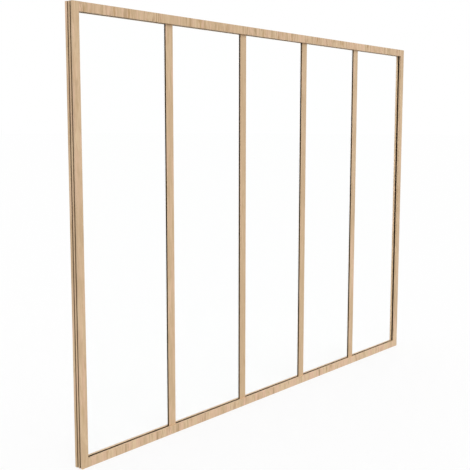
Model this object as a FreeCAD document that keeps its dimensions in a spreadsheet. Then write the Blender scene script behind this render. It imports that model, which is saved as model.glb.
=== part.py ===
import FreeCAD, Part
import math
import os

import Sketcher

# Interior glass partition: an oak frame, four oak mullions and five tall panes.
# X runs along the partition, the front face looks towards -Y, and Z is up.
# The origin is at floor level, in the middle of the length and of the depth.

doc = FreeCAD.newDocument("GlassPartition")

# Driving dimensions, in millimetres.
sizes = doc.addObject("Spreadsheet::Sheet", "Sizes")
DIMENSIONS = [
    ("overall_width", 3500.0, "outside of stile to outside of stile"),
    ("overall_height", 2500.0, "floor to top of head rail"),
    ("frame_depth", 58.0, "front face to back face of the frame"),
    ("stile_face", 45.0, "width of a stile seen from the front"),
    ("bottom_face", 50.0, "height of the bottom rail seen from the front"),
    ("head_face", 51.0, "height of the head rail seen from the front"),
    ("front_lip", 15.0, "thickness of the frame's front lip"),
    ("rebate_width", 20.0, "how far the rebate goes in behind the front lip"),
    ("tongue_width", 10.0, "tongue between the two grooves of the outer side"),
    ("groove_width", 10.0, "width of the two outer grooves"),
    ("groove_depth", 10.0, "depth of the two outer grooves"),
    ("eased_edge", 1.0, "radius of the long edges of frame, mullions and covers"),
    ("pane_count", 5, "panes of equal pitch"),
    ("mullion_face", 56.0, "width of a mullion seen from the front"),
    ("mullion_lip", 4.0, "thickness of a mullion's front flange"),
    ("mullion_rebate", 15.0, "how far the flange stands over the glass"),
    ("cover_face", 48.0, "width of the strip that closes a mullion at the back"),
    ("cover_thickness", 4.0, "thickness of that strip"),
    ("glass_thickness", 10.0, "one sheet"),
    ("frame_edge_gap", 8.0, "glass edge to the floor of the frame's rebate"),
    ("mullion_edge_gap", 3.0, "glass edge to the mullion's web"),
    ("gasket_thickness", 3.0, "gasket between glass and wood, each side"),
    ("gasket_setback", 1.0, "gasket edge behind the sight line"),
    ("bead_depth", 15.0, "depth of the glazing beads behind the glass"),
]
for row, (alias, number, meaning) in enumerate(DIMENSIONS, start=1):
    sizes.set(f"A{row}", alias)
    sizes.set(f"B{row}", str(number))
    sizes.set(f"C{row}", meaning)
    sizes.setAlias(f"B{row}", alias)
doc.recompute()


def cell(text):
    """Turn each [name] in a formula into a reference to that cell of the sheet."""
    return text.replace("[", "<<Sizes>>.").replace("]", "")


def value(text):
    return float(sizes.evalExpression(cell(text)))


# Planes that several pieces share, written once.
FRONT = "(-[frame_depth] / 2)"
BACK = "([frame_depth] / 2)"
HALF_WIDTH = "([overall_width] / 2)"
LIP_BACK = f"({FRONT} + [front_lip])"
FLANGE_BACK = f"({LIP_BACK} + [mullion_lip])"
GLASS_FRONT = f"({FLANGE_BACK} + [gasket_thickness])"
GLASS_BACK = f"({GLASS_FRONT} + [glass_thickness])"
SEAT_BACK = f"({GLASS_BACK} + [gasket_thickness])"
SIGHT_SIDE = f"({HALF_WIDTH} - [stile_face])"
SIGHT_LOW = "[bottom_face]"
SIGHT_HIGH = "([overall_height] - [head_face])"
REBATE_SIDE = f"({SIGHT_SIDE} + [rebate_width])"
REBATE_LOW = f"({SIGHT_LOW} - [rebate_width])"
REBATE_HIGH = f"({SIGHT_HIGH} + [rebate_width])"
GLASS_SIDE = f"({REBATE_SIDE} - [frame_edge_gap])"
GLASS_LOW = f"({REBATE_LOW} + [frame_edge_gap])"
GLASS_HIGH = f"({REBATE_HIGH} - [frame_edge_gap])"
PITCH = f"(2 * {SIGHT_SIDE} / [pane_count])"

# The tongue on the outer sides stands in the plane of the glass.
TONGUE_FRONT = f"(({GLASS_FRONT} + {GLASS_BACK} - [tongue_width]) / 2)"
TONGUE_BACK = f"({TONGUE_FRONT} + [tongue_width])"

pane_count = int(sizes.pane_count)


def anticlockwise(points):
    places = [FreeCAD.Vector(value(point[0]), value(point[1]), 0) for point in points]
    twice_area = sum(places[number - 1].cross(place).z for number, place in enumerate(places))
    return points if twice_area > 0 else points[::-1]


def step(start, end):
    """Unit step along an axis from one corner of an outline to the next."""
    across = value(end[0]) - value(start[0])
    along = value(end[1]) - value(start[1])
    length = math.hypot(across, along)
    return round(across / length), round(along / length)


def corner_ends(points):
    """Replace each rounded corner by both ends of its arc, the first with the radius."""
    ends = []
    for number, (across, along, *radius) in enumerate(points):
        if not radius:
            ends.append((across, along, None))
            continue
        size = radius[0]
        before = step(points[number - 1], points[number])
        after = step(points[number], points[(number + 1) % len(points)])
        ends.append((f"{across} - ({before[0]}) * {size}", f"{along} - ({before[1]}) * {size}", size))
        ends.append((f"{across} + ({after[0]}) * {size}", f"{along} + ({after[1]}) * {size}", None))
    return ends


def quarter_arc(start, end):
    """Arc of a rounded corner, anticlockwise from one end to the other."""
    chord = end - start
    centre = start + chord / 2 + FreeCAD.Vector(-chord.y, chord.x, 0) / 2
    spoke = start - centre
    angle = math.atan2(spoke.y, spoke.x)
    circle = Part.Circle(centre, FreeCAD.Vector(0, 0, 1), spoke.Length)
    return Part.ArcOfCircle(circle, angle, angle + math.pi / 2)


def origin_plane(body, role):
    return next(feature for feature in body.Origin.OriginFeatures if feature.Role == role)


def outline(body, role, points, name="Section"):
    """Closed sketch on one of the body's planes, every corner bound to the sizes.

    A corner is (across, along), with a radius as third value where it is rounded.
    """
    sketch = body.newObject("Sketcher::SketchObject", f"{body.Name}{name}")
    sketch.AttachmentSupport = [(origin_plane(body, role), "")]
    sketch.MapMode = "FlatFace"
    ends = corner_ends(anticlockwise(points))
    places = [FreeCAD.Vector(value(across), value(along), 0) for across, along, _ in ends]
    for number, start in enumerate(places):
        end = places[(number + 1) % len(places)]
        rounded = ends[number][2] is not None
        sketch.addGeometry(quarter_arc(start, end) if rounded else Part.LineSegment(start, end), False)
    for number in range(len(ends)):
        following = (number + 1) % len(ends)
        sketch.addConstraint(Sketcher.Constraint("Coincident", number, 2, following, 1))

    def bind(text, *constraint):
        index = sketch.addConstraint(Sketcher.Constraint(*constraint, value(text)))
        sketch.setExpression(f"Constraints[{index}]", cell(text))

    for number, (across, along, radius) in enumerate(ends):
        bind(across, "DistanceX", -1, 1, number, 1)
        bind(along, "DistanceY", -1, 1, number, 1)
        if radius is not None:
            bind(radius, "Radius", number)
    return sketch


def new_body(label):
    body = doc.addObject("PartDesign::Body", label)
    body.Label = label
    return body


def pad(body, sketch, length, both_ways=False):
    feature = body.newObject("PartDesign::Pad", f"{body.Name}Pad")
    feature.Profile = sketch
    feature.setExpression("Length", cell(length))
    feature.Midplane = both_ways
    sketch.Visibility = False
    return feature


def place(piece, across="0", depth="0", height="0"):
    for axis, text in (("x", across), ("y", depth), ("z", height)):
        piece.setExpression(f".Placement.Base.{axis}", cell(text))


def frame_section(face, out):
    """Section of the frame: out counts from the outer side (0) to the sight line.

    The outer side has a tongue between two grooves, and the inner side has a
    front lip with the glazing rebate behind it.
    """
    floor = "[groove_depth]"
    groove_front = f"{TONGUE_FRONT} - [groove_width]"
    groove_back = f"{TONGUE_BACK} + [groove_width]"
    return [
        (out("0"), FRONT, "[eased_edge]"),
        (out(face), FRONT, "[eased_edge]"),
        (out(face), LIP_BACK),
        (out(f"{face} - [rebate_width]"), LIP_BACK),
        (out(f"{face} - [rebate_width]"), BACK, "[eased_edge]"),
        (out("0"), BACK, "[eased_edge]"),
        (out("0"), groove_back),
        (out(floor), groove_back),
        (out(floor), TONGUE_BACK),
        (out("0"), TONGUE_BACK),
        (out("0"), TONGUE_FRONT),
        (out(floor), TONGUE_FRONT),
        (out(floor), groove_front),
        (out("0"), groove_front),
    ]


# Stiles: full height, grooved along the outer side and open at both ends.
def stile(label, side):
    body = new_body(label)
    section = frame_section("[stile_face]", lambda text: f"{side} * ({HALF_WIDTH} - ({text}))")
    pad(body, outline(body, "XY_Plane", section), "[overall_height]")


# Rails: butt between the stiles. The front shoulder stops at the stile's face,
# and behind it the rail runs on into the stile's rebate.
def rail(label, face, height_of):
    body = new_body(label)
    section = [(depth, out, *radius) for out, depth, *radius in frame_section(face, height_of)]
    pad(body, outline(body, "YZ_Plane", section), f"2 * {REBATE_SIDE}", both_ways=True)
    beyond = f"({REBATE_SIDE} + [front_lip])"
    in_front = f"({FRONT} - [front_lip])"
    for side, name in ((-1, "LeftShoulder"), (1, "RightShoulder")):
        notch = outline(body, "XY_Plane", [
            (f"{side} * {SIGHT_SIDE}", in_front),
            (f"{side} * {beyond}", in_front),
            (f"{side} * {beyond}", LIP_BACK),
            (f"{side} * {SIGHT_SIDE}", LIP_BACK),
        ], name)
        cut = body.newObject("PartDesign::Pocket", f"{body.Name}{name}Cut")
        cut.Profile = notch
        cut.Type = "ThroughAll"
        cut.Midplane = True
        notch.Visibility = False


stile("stile_left", -1)
stile("stile_right", 1)
rail("bottom_rail", "[bottom_face]", lambda text: f"({text})")
rail("head_rail", "[head_face]", lambda text: f"([overall_height] - ({text}))")


# Mullions: a T section whose thin flange covers the glass edges from the front.
# They stand in the rebates, so their face lies behind the frame's front lip.
def mullion_centre(number):
    return f"({PITCH} * {number} - {SIGHT_SIDE})"


def mullion(number):
    body = new_body(f"mullion_{number}")
    half = "([mullion_face] / 2)"
    web = f"({half} - [mullion_rebate])"
    section = outline(body, "XY_Plane", [
        (f"-{half}", LIP_BACK, "[eased_edge]"),
        (half, LIP_BACK, "[eased_edge]"),
        (half, FLANGE_BACK),
        (web, FLANGE_BACK),
        (web, SEAT_BACK),
        (f"-{web}", SEAT_BACK),
        (f"-{web}", FLANGE_BACK),
        (f"-{half}", FLANGE_BACK),
    ])
    pad(body, section, f"{REBATE_HIGH} - {REBATE_LOW}")
    place(body, across=mullion_centre(number), height=REBATE_LOW)


# Cover strips: close the glass rebates of each mullion from the back. They are
# narrower than the flange, so a line of gasket shows along both edges.
def mullion_cover(number):
    body = new_body(f"mullion_cover_{number}")
    half = "([cover_face] / 2)"
    cover_back = f"({SEAT_BACK} + [cover_thickness])"
    section = outline(body, "XY_Plane", [
        (f"-{half}", SEAT_BACK),
        (half, SEAT_BACK),
        (half, cover_back, "[eased_edge]"),
        (f"-{half}", cover_back, "[eased_edge]"),
    ])
    pad(body, section, f"{SIGHT_HIGH} - {SIGHT_LOW}")
    place(body, across=mullion_centre(number), height=SIGHT_LOW)


for number in range(1, pane_count):
    mullion(number)
    mullion_cover(number)


def sight_edges(number):
    """Left and right sight lines of one bay."""
    left = f"(-{SIGHT_SIDE})"
    right = SIGHT_SIDE
    if number > 1:
        left = f"({mullion_centre(number - 1)} + [mullion_face] / 2)"
    if number < pane_count:
        right = f"({mullion_centre(number)} - [mullion_face] / 2)"
    return left, right


def glass_edges(number):
    """Left and right edges of the glass in one bay, behind the sight lines."""
    left = f"(-{GLASS_SIDE})"
    right = GLASS_SIDE
    sight_left, sight_right = sight_edges(number)
    if number > 1:
        left = f"({sight_left} - [mullion_rebate] + [mullion_edge_gap])"
    if number < pane_count:
        right = f"({sight_right} + [mullion_rebate] - [mullion_edge_gap])"
    return left, right


def box(name, low, high):
    """Box between two corners that are written as sizes."""
    piece = doc.addObject("Part::Box", name)
    for side, start, end in zip(("Length", "Width", "Height"), low, high):
        piece.setExpression(side, cell(f"({end}) - ({start})"))
    place(piece, *low)
    return piece


# Glass: one sheet per bay, its edges held behind the sight lines on all sides.
def pane(number):
    left, right = glass_edges(number)
    name = f"glass_pane_{number}"
    sheet = box(name, (left, GLASS_FRONT, GLASS_LOW), (right, GLASS_BACK, GLASS_HIGH))
    sheet.Label = name


# Gaskets: a dark ring on each face of the glass. The front ring is thicker
# where it meets the frame, because the mullions' flanges stand further back.
RING_LOW = f"({SIGHT_LOW} - [gasket_setback])"
RING_HIGH = f"({SIGHT_HIGH} + [gasket_setback])"


def ring(name, number, front, back):
    glass_left, glass_right = glass_edges(number)
    sight_left, sight_right = sight_edges(number)
    outer = box(f"{name}Outer", (glass_left, front, GLASS_LOW), (glass_right, back, GLASS_HIGH))
    inner = box(
        f"{name}Inner",
        (f"{sight_left} - [gasket_setback]", front, RING_LOW),
        (f"{sight_right} + [gasket_setback]", back, RING_HIGH),
    )
    cut = doc.addObject("Part::Cut", name)
    cut.Base = outer
    cut.Tool = inner
    return cut


def front_gasket(number):
    glass_left, glass_right = glass_edges(number)
    sight_left, sight_right = sight_edges(number)
    first = glass_left if number == 1 else sight_left
    last = glass_right if number == pane_count else sight_right
    name = f"gasket_front_{number}"
    strips = [
        ring(f"{name}Ring", number, FLANGE_BACK, GLASS_FRONT),
        box(f"{name}Low", (first, LIP_BACK, GLASS_LOW), (last, FLANGE_BACK, RING_LOW)),
        box(f"{name}High", (first, LIP_BACK, RING_HIGH), (last, FLANGE_BACK, GLASS_HIGH)),
    ]
    if number == 1:
        strips.append(box(f"{name}Side", (glass_left, LIP_BACK, GLASS_LOW),
                          (f"{sight_left} - [gasket_setback]", FLANGE_BACK, GLASS_HIGH)))
    if number == pane_count:
        strips.append(box(f"{name}Side", (f"{sight_right} + [gasket_setback]", LIP_BACK, GLASS_LOW),
                          (glass_right, FLANGE_BACK, GLASS_HIGH)))
    joined = doc.addObject("Part::MultiFuse", name)
    joined.Shapes = strips
    joined.Refine = True
    joined.Label = name


def back_gasket(number):
    name = f"gasket_back_{number}"
    ring(name, number, GLASS_BACK, SEAT_BACK).Label = name


for number in range(1, pane_count + 1):
    pane(number)
    front_gasket(number)
    back_gasket(number)


# Glazing beads: oak strips in the frame's rebate that hold the glass from the
# back, mitred at the four corners.
def bead(label, corners):
    body = new_body(label)
    pad(body, outline(body, "XZ_Plane", corners), "[bead_depth]")
    place(body, depth=f"{SEAT_BACK} + [bead_depth]")


for label, inner, outer in (("bead_bottom", SIGHT_LOW, REBATE_LOW),
                            ("bead_head", SIGHT_HIGH, REBATE_HIGH)):
    bead(label, [
        (f"-{REBATE_SIDE}", outer),
        (REBATE_SIDE, outer),
        (SIGHT_SIDE, inner),
        (f"-{SIGHT_SIDE}", inner),
    ])
for label, side in (("bead_left", "-1"), ("bead_right", "1")):
    bead(label, [
        (f"{side} * {REBATE_SIDE}", REBATE_LOW),
        (f"{side} * {REBATE_SIDE}", REBATE_HIGH),
        (f"{side} * {SIGHT_SIDE}", SIGHT_HIGH),
        (f"{side} * {SIGHT_SIDE}", SIGHT_LOW),
    ])

doc.recompute()

NODES = ["stile_left", "stile_right", "bottom_rail", "head_rail"]
NODES += [f"mullion_{number}" for number in range(1, pane_count)]
NODES += [f"mullion_cover_{number}" for number in range(1, pane_count)]
NODES += [f"glass_pane_{number}" for number in range(1, pane_count + 1)]
NODES += [f"gasket_front_{number}" for number in range(1, pane_count + 1)]
NODES += [f"gasket_back_{number}" for number in range(1, pane_count + 1)]
NODES += ["bead_bottom", "bead_head", "bead_left", "bead_right"]

for item in doc.Objects:
    if "Invalid" in item.State or "Error" in item.State:
        raise RuntimeError(f"{item.Name} failed: {item.State}")

os.makedirs("parts", exist_ok=True)
for node in NODES:
    piece = doc.getObjectsByLabel(node)[0]
    shape = piece.Shape
    if shape.isNull() or not shape.isValid() or not shape.Solids:
        raise RuntimeError(f"{node} has no valid solid")
    shape.exportStep(f"parts/{node}.step")
    extent = shape.BoundBox
    print(f"{node}: {len(shape.Solids)} solid, {shape.Volume / 1e6:.3f} litres, "
          f"x {extent.XMin:.1f}..{extent.XMax:.1f}, "
          f"y {extent.YMin:.1f}..{extent.YMax:.1f}, "
          f"z {extent.ZMin:.1f}..{extent.ZMax:.1f}")
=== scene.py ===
import bpy
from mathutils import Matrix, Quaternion, Vector


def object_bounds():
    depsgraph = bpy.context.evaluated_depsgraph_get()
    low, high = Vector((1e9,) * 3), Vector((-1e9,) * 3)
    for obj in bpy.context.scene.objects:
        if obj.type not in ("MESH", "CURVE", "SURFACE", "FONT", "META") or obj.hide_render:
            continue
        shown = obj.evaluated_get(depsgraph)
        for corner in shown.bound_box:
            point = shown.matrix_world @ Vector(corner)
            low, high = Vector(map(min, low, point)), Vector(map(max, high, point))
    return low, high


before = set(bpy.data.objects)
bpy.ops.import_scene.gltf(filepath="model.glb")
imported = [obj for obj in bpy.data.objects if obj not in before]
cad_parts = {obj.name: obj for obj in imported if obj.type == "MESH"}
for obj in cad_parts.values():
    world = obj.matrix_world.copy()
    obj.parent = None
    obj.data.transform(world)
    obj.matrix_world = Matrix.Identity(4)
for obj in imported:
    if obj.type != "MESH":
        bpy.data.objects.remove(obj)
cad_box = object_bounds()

# Stiles and rails: four boards of light, straight-grained oak under a matt clear
# lacquer, with the rails butted between the stiles. Each is rebated for the glass and
# ploughed with two grooves along its outer side, where painted shade darkens the oak.
OAK_PALE = (0.680, 0.503, 0.320)
OAK_ROSY = (0.702, 0.480, 0.330)
OAK_MID = (0.566, 0.401, 0.243)
OAK_WARM = (0.465, 0.293, 0.140)
OAK_DARK = (0.325, 0.203, 0.098)
# painted shade: the colour the oak darkens to deep in its grooves
PAINTED_GROOVE_SHADE = (0.090, 0.048, 0.020)
BOARD_STEP = (3.17, 1.73, 0.61)  # from one board's figure to the next one's
GRAIN_SWAY = 0.016  # how far the grain wanders to either side, in metres
BAND_STRENGTH = 0.7
LINE_STRENGTH = 0.15
PORE_STRENGTH = 0.45
PORE_SPAN = (0.66, 0.74)
LACQUER_ROUGHNESS = (0.48, 0.60)
LACQUER_SHINE = 0.35


def new_finish(name):
    """A new material with an empty node tree."""
    material = bpy.data.materials.new(name)
    material.use_nodes = True
    tree = material.node_tree
    tree.nodes.clear()
    return material, tree, tree.nodes, tree.links


def grain_noise(tree, coordinates, across, along, detail, place=(0.0, 0.0, 0.0), wave=0.0):
    """Noise drawn out upright: features per metre across and along the grain."""
    mapping = tree.nodes.new("ShaderNodeMapping")
    mapping.inputs["Location"].default_value = place
    mapping.inputs["Scale"].default_value = (across, across, along)
    tree.links.new(coordinates, mapping.inputs["Vector"])
    noise = tree.nodes.new("ShaderNodeTexNoise")
    noise.inputs["Scale"].default_value = 1.0
    noise.inputs["Detail"].default_value = detail
    noise.inputs["Roughness"].default_value = 0.55
    noise.inputs["Distortion"].default_value = wave
    tree.links.new(mapping.outputs["Vector"], noise.inputs["Vector"])
    return noise.outputs["Fac"]


def spread(tree, value, span, to):
    """Map a span of a value to another span, held at both ends."""
    node = tree.nodes.new("ShaderNodeMapRange")
    node.inputs["From Min"].default_value, node.inputs["From Max"].default_value = span
    node.inputs["To Min"].default_value, node.inputs["To Max"].default_value = to
    tree.links.new(value, node.inputs["Value"])
    return node.outputs["Result"]


def mix_colour(tree, amount, first, second):
    """The first colour where amount is 0, the second where it is 1."""
    node = tree.nodes.new("ShaderNodeMix")
    node.data_type = "RGBA"
    tree.links.new(amount, node.inputs["Factor"])
    for socket, colour in ((node.inputs["A"], first), (node.inputs["B"], second)):
        if isinstance(colour, tuple):
            socket.default_value = (*colour, 1.0)
        else:
            tree.links.new(colour, socket)
    return node.outputs["Result"]


def combine(tree, operation, *values):
    """One step of arithmetic on values, each a number or a node's output."""
    node = tree.nodes.new("ShaderNodeMath")
    node.operation = operation
    for socket, value in zip(node.inputs, values):
        if isinstance(value, (int, float)):
            socket.default_value = value
        else:
            tree.links.new(value, socket)
    return node.outputs["Value"]


def split(tree, coordinates):
    """The X, Y and Z outputs of a set of coordinates."""
    node = tree.nodes.new("ShaderNodeSeparateXYZ")
    tree.links.new(coordinates, node.inputs["Vector"])
    return node.outputs


def add_relief(tree, shader, height, strength, distance):
    """Fine unevenness of a surface, as a bump on its shader."""
    bump = tree.nodes.new("ShaderNodeBump")
    bump.inputs["Strength"].default_value = strength
    bump.inputs["Distance"].default_value = distance
    tree.links.new(height, bump.inputs["Height"])
    tree.links.new(bump.outputs["Normal"], shader.inputs["Normal"])


def set_surface(tree, surface):
    """Join a shader to the material's output."""
    output = tree.nodes.new("ShaderNodeOutputMaterial")
    tree.links.new(surface, output.inputs["Surface"])


def finish_with(node, material):
    """Give a piece its one material."""
    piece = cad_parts[node]
    piece.data.materials.clear()
    piece.data.materials.append(material)


def oak(name, board, depth, drift, streaks, fade=0.0, painted_shade=None):
    """Lacquered oak, each board cut from its own place in the tree.

    The figure runs upright on every piece, on the rails too, where the photograph
    shows it across the board. depth is how much darker the whole board is, drift
    the strength of the slow change of tone along it, streaks that of the dark
    figure, and fade how much paler it gets per metre towards +X. The last argument
    makes a 0 to 1 mask from the coordinates for painted shade, which darkens the
    wood inside its grooves.
    """
    material, tree, nodes, links = new_finish(name)
    place = tuple(board * step for step in BOARD_STEP)
    coordinates = nodes.new("ShaderNodeTexCoord").outputs["Object"]
    bend = grain_noise(tree, coordinates, across=6.0, along=5.0, detail=1.0, place=place)
    sway = spread(tree, bend, span=(0.0, 1.0), to=(-GRAIN_SWAY, GRAIN_SWAY))
    aside = nodes.new("ShaderNodeCombineXYZ")
    links.new(sway, aside.inputs["X"])
    links.new(sway, aside.inputs["Y"])
    bent = nodes.new("ShaderNodeVectorMath")
    bent.operation = "ADD"
    links.new(coordinates, bent.inputs[0])
    links.new(aside.outputs["Vector"], bent.inputs[1])

    def layer(across, along, detail, turn=(0, 1, 2), wave=0.0):
        """One layer of the figure; turn swaps the axes of the board's place."""
        spot = tuple(place[axis] for axis in turn)
        return grain_noise(tree, bent.outputs["Vector"], across, along, detail, spot, wave)

    tone = layer(across=9.0, along=3.1, detail=3.0)
    bands = layer(across=62.0, along=4.0, detail=3.0)
    lines = layer(across=420.0, along=9.0, detail=2.0)
    pores = layer(across=1500.0, along=55.0, detail=1.0)
    rays = layer(across=185.0, along=6.0, detail=2.0, turn=(1, 2, 0), wave=0.2)
    clusters = layer(across=24.0, along=5.0, detail=2.0, turn=(0, 2, 1), wave=0.4)
    patches = layer(across=34.0, along=9.0, detail=2.0, turn=(1, 0, 2), wave=0.4)
    blush = layer(across=26.0, along=3.5, detail=1.0, turn=(2, 0, 1))

    rosy = spread(tree, blush, span=(0.42, 0.60), to=(0.0, 1.0))
    slow = spread(tree, tone, span=(0.32, 0.68), to=(0.0, drift))
    banded = spread(tree, bands, span=(0.38, 0.62), to=(0.0, BAND_STRENGTH))
    fine = spread(tree, lines, span=(0.35, 0.65), to=(depth, depth + LINE_STRENGTH))
    figure = combine(tree, "ADD", combine(tree, "ADD", slow, banded), fine)
    if fade:
        paler = combine(tree, "MULTIPLY", split(tree, coordinates)["X"], fade)
        figure = combine(tree, "SUBTRACT", figure, paler)
    warm = spread(tree, patches, span=(0.58, 0.74), to=(0.0, streaks))
    streak = combine(
        tree, "MULTIPLY",
        spread(tree, rays, span=(0.52, 0.64), to=(0.0, streaks)),
        spread(tree, clusters, span=(0.35, 0.62), to=(0.25, 1.0)))
    pore = spread(tree, pores, span=PORE_SPAN, to=(0.0, PORE_STRENGTH))

    colour = mix_colour(tree, rosy, OAK_PALE, OAK_ROSY)
    colour = mix_colour(tree, figure, colour, OAK_MID)
    colour = mix_colour(tree, warm, colour, OAK_WARM)
    colour = mix_colour(tree, combine(tree, "MAXIMUM", streak, pore), colour, OAK_DARK)
    # Painted shade: the oak darkens towards the floor of its grooves.
    if painted_shade:
        colour = mix_colour(tree, painted_shade(tree, coordinates), colour, PAINTED_GROOVE_SHADE)

    shader = nodes.new("ShaderNodeBsdfPrincipled")
    links.new(colour, shader.inputs["Base Color"])
    roughness = spread(tree, bands, span=(0.3, 0.7), to=LACQUER_ROUGHNESS)
    links.new(roughness, shader.inputs["Roughness"])
    shader.inputs["Specular IOR Level"].default_value = LACQUER_SHINE
    open_pores = spread(tree, pores, span=PORE_SPAN, to=(0.0, -1.0))
    height = combine(tree, "ADD", lines, open_pores)
    add_relief(tree, shader, height, strength=0.25, distance=0.0004)
    set_surface(tree, shader.outputs["BSDF"])
    return material


# Painted shade in the grooves: where across the side it lies and how deep it reaches.
GROOVES_MIDDLE = -0.002  # the tongue between the grooves, along Y
GROOVES_REACH = 0.0155  # from there to just past the far wall of either groove
GROOVE_DEPTH = 0.010
GROOVE_SLACK = 0.0005  # takes in the floor of the groove
SHADE_START = 0.0002  # depth at which the painted shade begins
SHADE_FULL = 0.6 * GROOVE_DEPTH  # depth at which it is darkest


def groove_painted_shade(axis, outer, inward):
    """Painted-shade mask for grooves that start at a place on an axis and go in along it."""
    def mask(tree, coordinates):
        parts = split(tree, coordinates)
        past_face = combine(tree, "SUBTRACT", parts[axis], outer)
        depth = combine(tree, "MULTIPLY", past_face, inward)
        from_middle = combine(tree, "SUBTRACT", parts["Y"], GROOVES_MIDDLE)
        offset = combine(tree, "ABSOLUTE", from_middle)
        inside = combine(
            tree, "MULTIPLY",
            combine(tree, "LESS_THAN", offset, GROOVES_REACH),
            combine(tree, "LESS_THAN", depth, GROOVE_DEPTH + GROOVE_SLACK))
        # Painted shade, growing with depth into the groove.
        dust_and_painted_shade = spread(tree, depth, span=(SHADE_START, SHADE_FULL), to=(0.0, 1.0))
        return combine(tree, "MULTIPLY", dust_and_painted_shade, inside)
    return mask


low, high = cad_box
finish_with("stile_left", oak(
    "oak_stile_left", board=1, depth=-0.2, drift=1.0, streaks=0.4,
    painted_shade=groove_painted_shade("X", low.x, 1.0)))
finish_with("stile_right", oak(
    "oak_stile_right", board=2, depth=-0.2, drift=0.9, streaks=0.45,
    painted_shade=groove_painted_shade("X", high.x, -1.0)))
finish_with("bottom_rail", oak(
    "oak_bottom_rail", board=3, depth=-0.65, drift=0.6, streaks=0.8, fade=0.2,
    painted_shade=groove_painted_shade("Z", low.z, 1.0)))
finish_with("head_rail", oak(
    "oak_head_rail", board=4, depth=-0.2, drift=0.6, streaks=1.0, fade=0.1,
    painted_shade=groove_painted_shade("Z", high.z, -1.0)))


# Mullions: four slim T-shaped oak bars, equally spaced. Each is slotted in from the
# back, so that the ends of its flange stand behind the front lip of the rails.
MULLION_DEPTHS = (0.0, 0.35, 0.3, 0.0)
MULLION_DRIFT = 0.6
MULLION_STREAKS = 0.35
MULLION_BOARDS = 10
for number, depth in enumerate(MULLION_DEPTHS, start=1):
    finish_with(f"mullion_{number}", oak(
        f"oak_mullion_{number}", MULLION_BOARDS + number, depth,
        MULLION_DRIFT, MULLION_STREAKS))


# Gaskets: extruded dark brown rubber on both faces of the glass, matt, with a
# little dust on it. They are pushed in and held by the pressure of the beads.
RUBBER_CLEAN = (0.018, 0.007, 0.0025)
RUBBER_DUSTY = (0.034, 0.016, 0.007)
RUBBER_ROUGHNESS = (0.62, 0.78)
RUBBER_SHINE = 0.05


def rubber(name):
    """Matt rubber, paler where dust has settled."""
    material, tree, nodes, links = new_finish(name)
    coordinates = nodes.new("ShaderNodeTexCoord").outputs["Object"]
    dust_and_painted_shade = grain_noise(tree, coordinates, across=40.0, along=12.0, detail=4.0)
    skin = grain_noise(tree, coordinates, across=2400.0, along=2400.0, detail=1.0)
    dusty = spread(tree, dust_and_painted_shade, span=(0.4, 0.75), to=(0.0, 1.0))
    shader = nodes.new("ShaderNodeBsdfPrincipled")
    links.new(mix_colour(tree, dusty, RUBBER_CLEAN, RUBBER_DUSTY), shader.inputs["Base Color"])
    roughness = spread(tree, dust_and_painted_shade, span=(0.3, 0.7), to=RUBBER_ROUGHNESS)
    links.new(roughness, shader.inputs["Roughness"])
    shader.inputs["Specular IOR Level"].default_value = RUBBER_SHINE
    add_relief(tree, shader, skin, strength=0.15, distance=0.0002)
    set_surface(tree, shader.outputs["BSDF"])
    return material


PANES = len(MULLION_DEPTHS) + 1
gasket_rubber = rubber("gasket_rubber")
for number in range(1, PANES + 1):
    finish_with(f"gasket_front_{number}", gasket_rubber)
    finish_with(f"gasket_back_{number}", gasket_rubber)


# Panes: one sheet of clear toughened glass in each bay, with polished faces and a
# trace of cleaning haze. It stands between its two gaskets, free of the oak. Light
# from the lamp passes it as through a thin clear sheet.
GLASS_TINT = (0.996, 1.0, 0.998, 1.0)
GLASS_SHADOW = (0.95, 0.97, 0.96, 1.0)
GLASS_IOR = 1.5
HAZE_ROUGHNESS = 0.012
HAZE_PLACE = (4.0, 0.0, 1.0)


def clear_glass(name):
    """Clear glass that lets the lamp's light through to what stands behind it."""
    material, tree, nodes, links = new_finish(name)
    coordinates = nodes.new("ShaderNodeTexCoord").outputs["Object"]
    haze = grain_noise(tree, coordinates, across=3.0, along=2.0, detail=3.0, place=HAZE_PLACE)
    shader = nodes.new("ShaderNodeBsdfPrincipled")
    shader.inputs["Base Color"].default_value = GLASS_TINT
    shader.inputs["Transmission Weight"].default_value = 1.0
    shader.inputs["IOR"].default_value = GLASS_IOR
    roughness = spread(tree, haze, span=(0.45, 0.75), to=(0.0, HAZE_ROUGHNESS))
    links.new(roughness, shader.inputs["Roughness"])
    clear = nodes.new("ShaderNodeBsdfTransparent")
    clear.inputs["Color"].default_value = GLASS_SHADOW
    ray = nodes.new("ShaderNodeLightPath")
    mix = nodes.new("ShaderNodeMixShader")
    links.new(ray.outputs["Is Shadow Ray"], mix.inputs["Fac"])
    links.new(shader.outputs["BSDF"], mix.inputs[1])
    links.new(clear.outputs["BSDF"], mix.inputs[2])
    set_surface(tree, mix.outputs["Shader"])
    return material


pane_glass = clear_glass("pane_glass")
for number in range(1, PANES + 1):
    finish_with(f"glass_pane_{number}", pane_glass)


# Cover strips: thin oak strips of the mullions' own tone, which close them at the
# back. Each is pinned to its mullion's web once the glass is in.
COVER_BOARDS = 20
for number, depth in enumerate(MULLION_DEPTHS, start=1):
    finish_with(f"mullion_cover_{number}", oak(
        f"oak_cover_{number}", COVER_BOARDS + number, depth,
        MULLION_DRIFT, MULLION_STREAKS))


# Glazing beads: four plain oak strips round the back of the frame, mitred at the
# corners. They are pressed against the glass last and hold it in its rebate.
BEAD_BOARDS = 30
for number, side in enumerate(("bottom", "head", "left", "right")):
    finish_with(f"bead_{side}", oak(
        f"oak_bead_{side}", BEAD_BOARDS + number, depth=0.0, drift=0.5, streaks=0.4))


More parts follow.
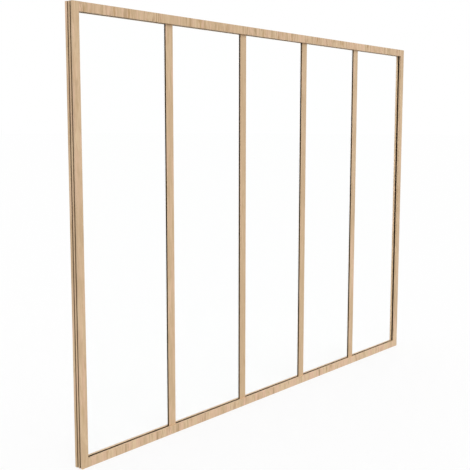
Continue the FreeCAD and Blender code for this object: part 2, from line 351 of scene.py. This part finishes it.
# Floor: a plain sheet under the partition, which takes its shadow. The camera, the
# glass and reflections see it as nearly white, and a little of its light reaches
# the undersides of the frame.
FLOOR_HALF = 400.0  # far enough for its edge to be lost in the surround
FLOOR_GREY = (0.15, 0.15, 0.15, 1.0)
FLOOR_ROUGHNESS = 0.9
FLOOR_GLOW = 0.815  # where it is seen
FLOOR_BOUNCE = 0.28  # where it lights the frame


def seen_directly(tree):
    """1 for what the camera, a reflection or the glass shows, otherwise 0."""
    ray = tree.nodes.new("ShaderNodeLightPath").outputs
    seen = combine(tree, "MAXIMUM", ray["Is Camera Ray"], ray["Is Glossy Ray"])
    return combine(tree, "MAXIMUM", seen, ray["Is Transmission Ray"])


corners = [(-FLOOR_HALF, -FLOOR_HALF, 0), (FLOOR_HALF, -FLOOR_HALF, 0),
           (FLOOR_HALF, FLOOR_HALF, 0), (-FLOOR_HALF, FLOOR_HALF, 0)]
floor_mesh = bpy.data.meshes.new("floor")
floor_mesh.from_pydata(corners, [], [(0, 1, 2, 3)])
floor = bpy.data.objects.new("floor", floor_mesh)
bpy.context.scene.collection.objects.link(floor)
floor_paint, tree, nodes, links = new_finish("floor_paint")
shader = nodes.new("ShaderNodeBsdfPrincipled")
shader.inputs["Base Color"].default_value = FLOOR_GREY
shader.inputs["Roughness"].default_value = FLOOR_ROUGHNESS
shader.inputs["Specular IOR Level"].default_value = 0.0
glow = nodes.new("ShaderNodeEmission")
strength = spread(tree, seen_directly(tree), span=(0.0, 1.0), to=(FLOOR_BOUNCE, FLOOR_GLOW))
links.new(strength, glow.inputs["Strength"])
both = nodes.new("ShaderNodeAddShader")
links.new(shader.outputs["BSDF"], both.inputs[0])
links.new(glow.outputs["Emission"], both.inputs[1])
set_surface(tree, both.outputs["Shader"])
floor_mesh.materials.append(floor_paint)


# Light: an even white surround at a plain level, and one broad lamp at the front
# left, above the partition, which tells its faces apart and casts a soft shadow.
SURROUND_WHITE = (1.0, 1.0, 1.0, 1.0)
SURROUND_STRENGTH = 1.0
LAMP_PLACE = (-5.5, -8.0, 4.95)
LAMP_STRENGTH = 1.33
LAMP_ANGLE = 0.8  # how broad it is, in radians
world = bpy.data.worlds.new("studio")
bpy.context.scene.world = world
world.use_nodes = True
tree = world.node_tree
tree.nodes.clear()
background = tree.nodes.new("ShaderNodeBackground")
background.inputs["Color"].default_value = SURROUND_WHITE
background.inputs["Strength"].default_value = SURROUND_STRENGTH
output = tree.nodes.new("ShaderNodeOutputWorld")
tree.links.new(background.outputs["Background"], output.inputs["Surface"])
lamp = bpy.data.lights.new("key", "SUN")
lamp.energy = LAMP_STRENGTH
lamp.angle = LAMP_ANGLE
key = bpy.data.objects.new("key", lamp)
bpy.context.scene.collection.objects.link(key)
key.location = LAMP_PLACE
key.rotation_euler = (-key.location).to_track_quat("-Z", "Y").to_euler()


# Camera: at eye level beyond the left end of the partition, a little turned
# down, placed so that the frame's corners fall where they do in the photograph.
EYE = Vector((-4.6215, -3.4830, 1.8405))
FORWARD = Vector((0.76493, 0.63224, -0.12307))
ROLL = 0.0012
LENS_PIXELS = 842.8  # the focal length, measured in pixels of the photograph
PHOTO_PIXELS = 470.0
SENSOR_WIDTH = 36.0
CLIP_END = 2000.0
camera_data = bpy.data.cameras.new("camera")
camera_data.sensor_fit = "HORIZONTAL"
camera_data.sensor_width = SENSOR_WIDTH
camera_data.lens = LENS_PIXELS / PHOTO_PIXELS * SENSOR_WIDTH
camera_data.clip_end = CLIP_END
camera = bpy.data.objects.new("camera", camera_data)
bpy.context.scene.collection.objects.link(camera)
camera.location = EYE
camera.rotation_mode = "QUATERNION"
roll = Quaternion((0.0, 0.0, 1.0), ROLL)
camera.rotation_quaternion = FORWARD.to_track_quat("-Z", "Y") @ roll
bpy.context.scene.camera = camera
bpy.context.scene.view_settings.view_transform = "Standard"
